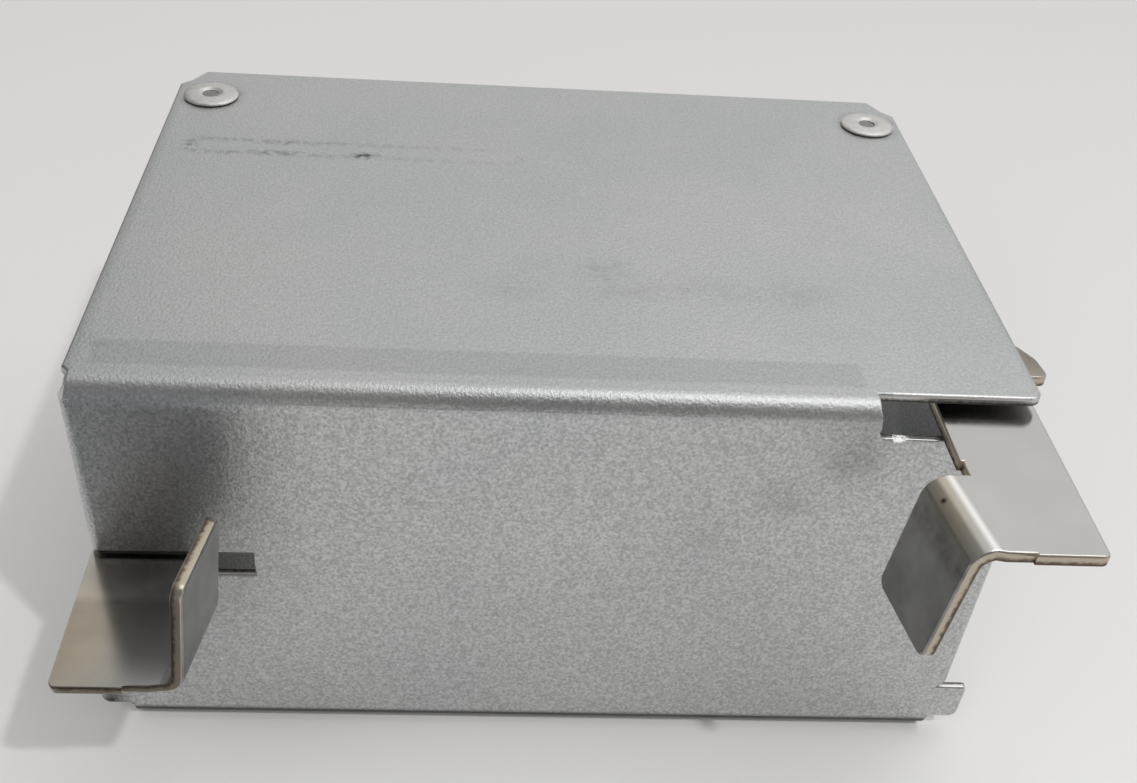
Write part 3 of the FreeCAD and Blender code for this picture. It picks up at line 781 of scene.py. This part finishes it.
class BLANK_OT_enclosure(Operator):
    """Dress the folded box"""
    bl_idname = "blank.enclosure"
    bl_label = "Enclosure"

    def execute(self, context):
        look = context.scene.blank.sheet
        bm = rolled_sheet("enclosure", look)
        materials = [zinc_sheet(look), punched_edge("punched_zinc_sheet_edge", look, SHEET_GLINTS)]
        piece = link_piece("enclosure_sheet", bm, materials)
        even_normals(piece)
        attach(piece, "enclosure")
        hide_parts("enclosure")
        return {"FINISHED"}


class BLANK_OT_latches(Operator):
    """Dress both spring latches"""
    bl_idname = "blank.latches"
    bl_label = "Spring latches"

    def execute(self, context):
        look = context.scene.blank.latch
        materials = [spring_strip(look), punched_edge("punched_stainless_edge", look)]
        for side in SIDE_SIGN:
            node_name = "latch_" + side
            bm = rolled_sheet(node_name, look)
            piece = link_piece("latch_strip_" + side, bm, materials)
            even_normals(piece)
            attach(piece, node_name)
            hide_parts(node_name)
        return {"FINISHED"}


class BLANK_OT_rivets(Operator):
    """Turn both blind rivets"""
    bl_idname = "blank.rivets"
    bl_label = "Blind rivets"

    def execute(self, context):
        look = context.scene.blank.rivet
        material = rivet_aluminium(look)
        for side, sign in SIDE_SIGN.items():
            axis = Vector((rivet_axis.x * sign, rivet_axis.y, 0))
            bm = turned(rivet_profile(look), axis, look.steps)
            piece = link_piece("rivet_body_" + side, bm, [material])
            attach(piece, "enclosure")
            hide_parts("rivet_" + side)
        return {"FINISHED"}


# Level line about which the broken face of a mandrel is tilted.
BREAK_AXIS = (0.5, 0.8, 0)


class BLANK_OT_mandrels(Operator):
    """Break off both mandrel stubs"""
    bl_idname = "blank.mandrels"
    bl_label = "Mandrel stubs"

    def execute(self, context):
        look = context.scene.blank.rivet
        material = mandrel_steel(look)
        for side, sign in SIDE_SIGN.items():
            node_name = "mandrel_" + side
            bm = bmesh.new()
            bm.from_mesh(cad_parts[node_name].data)
            bmesh.ops.remove_doubles(bm, verts=bm.verts[:], dist=MERGE_DISTANCE)
            bmesh.ops.dissolve_limit(bm, angle_limit=FLAT_ANGLE, verts=bm.verts[:], edges=bm.edges[:])
            break_height = max(vert.co.z for vert in bm.verts)
            broken = [vert for vert in bm.verts if vert.co.z > break_height - MERGE_DISTANCE]
            centre = Vector((rivet_axis.x * sign, rivet_axis.y, break_height))
            tilt = Matrix.Rotation(look.break_tilt, 3, BREAK_AXIS)
            bmesh.ops.rotate(bm, verts=broken, cent=centre, matrix=tilt)
            piece = link_piece("mandrel_stub_" + side, bm, [material])
            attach(piece, "enclosure")
            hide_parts(node_name)
        return {"FINISHED"}


# Lamps: name, size in metres, place in metres, and whether the metal mirrors it.
LAMPS = (
    ("key", 0.03, (0.33, -0.43, 0.74), False),
    ("top", 0.6, (0.32, 0.12, 1.0), True),
    ("fill", 0.9, (-0.35, -0.78, 0.8), False),
)
LAMP_TARGET = Vector((0, 0, 0.02))
FLOOR_DROP = 0.02 * MM
CARD_SIZE = (0.16, 0.06)

# Camera solved on the straight edges of the box: place and lens in millimetres, turn in degrees.
CAMERA_PLACE = (-8.441, -117.224, 103.389)
CAMERA_TURN = (48.389, -3.603, -1.884)
CAMERA_LENS = 41.382
CAMERA_SHIFT = (0.02, 0.12)


class BLANK_OT_stage(Operator):
    """Set the floor, the lamps and the camera"""
    bl_idname = "blank.stage"
    bl_label = "Stage"

    def execute(self, context):
        look = context.scene.blank.stage
        scene = context.scene
        scene.view_settings.view_transform = "Standard"
        bm = bmesh.new()
        bmesh.ops.create_circle(bm, cap_ends=True, segments=96, radius=look.floor_radius,
                                matrix=Matrix.Translation((0, 0, -FLOOR_DROP)))
        link_piece("floor", bm, [floor_board(look)])
        card = bmesh.new()
        upright = Matrix.Rotation(math.radians(-90), 3, "X")
        bmesh.ops.create_grid(card, x_segments=1, y_segments=1, size=0.5, matrix=Matrix.LocRotScale(
            look.card_place, upright, Vector((*CARD_SIZE, 1))))
        shade_card = link_piece("shade_card", card, [grey_card(look)])
        shade_card.visible_camera = False
        shade_card.visible_diffuse = False
        shade_card.visible_shadow = False
        scene.world = soft_room(look)
        powers = {"key": look.key_power, "top": look.top_power, "fill": look.fill_power}
        for name, size, place, in_metal in LAMPS:
            light = bpy.data.lights.new(name + "_lamp", "AREA")
            light.energy = powers[name]
            light.size = size
            lamp = bpy.data.objects.new(name + "_lamp", light)
            lamp.location = place
            lamp.rotation_euler = (LAMP_TARGET - Vector(place)).to_track_quat("-Z", "Y").to_euler()
            lamp.visible_camera = False
            lamp.visible_glossy = in_metal
            scene.collection.objects.link(lamp)
        data = bpy.data.cameras.new("camera")
        data.sensor_width = 36
        data.lens = CAMERA_LENS
        data.shift_x, data.shift_y = CAMERA_SHIFT
        camera = bpy.data.objects.new("camera", data)
        camera.location = Vector(CAMERA_PLACE) * MM
        camera.rotation_euler = [math.radians(angle) for angle in CAMERA_TURN]
        data.clip_start = 0.005
        scene.collection.objects.link(camera)
        scene.camera = camera
        return {"FINISHED"}


class BLANK_PT_sidebar(Panel):
    bl_label = "Blank filler"
    bl_space_type = "VIEW_3D"
    bl_region_type = "UI"
    bl_category = "Blank filler"

    def draw(self, context):
        for operator in OPERATORS:
            self.layout.operator(operator.bl_idname)


OPERATORS = (BLANK_OT_enclosure, BLANK_OT_latches, BLANK_OT_rivets, BLANK_OT_mandrels, BLANK_OT_stage)
CLASSES = (SheetLook, LatchLook, RivetLook, StageLook, BlankLook, *OPERATORS, BLANK_PT_sidebar)


def register():
    for cls in CLASSES:
        bpy.utils.register_class(cls)
    bpy.types.Scene.blank = PointerProperty(type=BlankLook)


def unregister():
    del bpy.types.Scene.blank
    for cls in reversed(CLASSES):
        bpy.utils.unregister_class(cls)


def main():
    register()
    bpy.ops.blank.enclosure()
    bpy.ops.blank.latches()
    bpy.ops.blank.rivets()
    bpy.ops.blank.mandrels()
    bpy.ops.blank.stage()


if __name__ == "__main__":
    main()
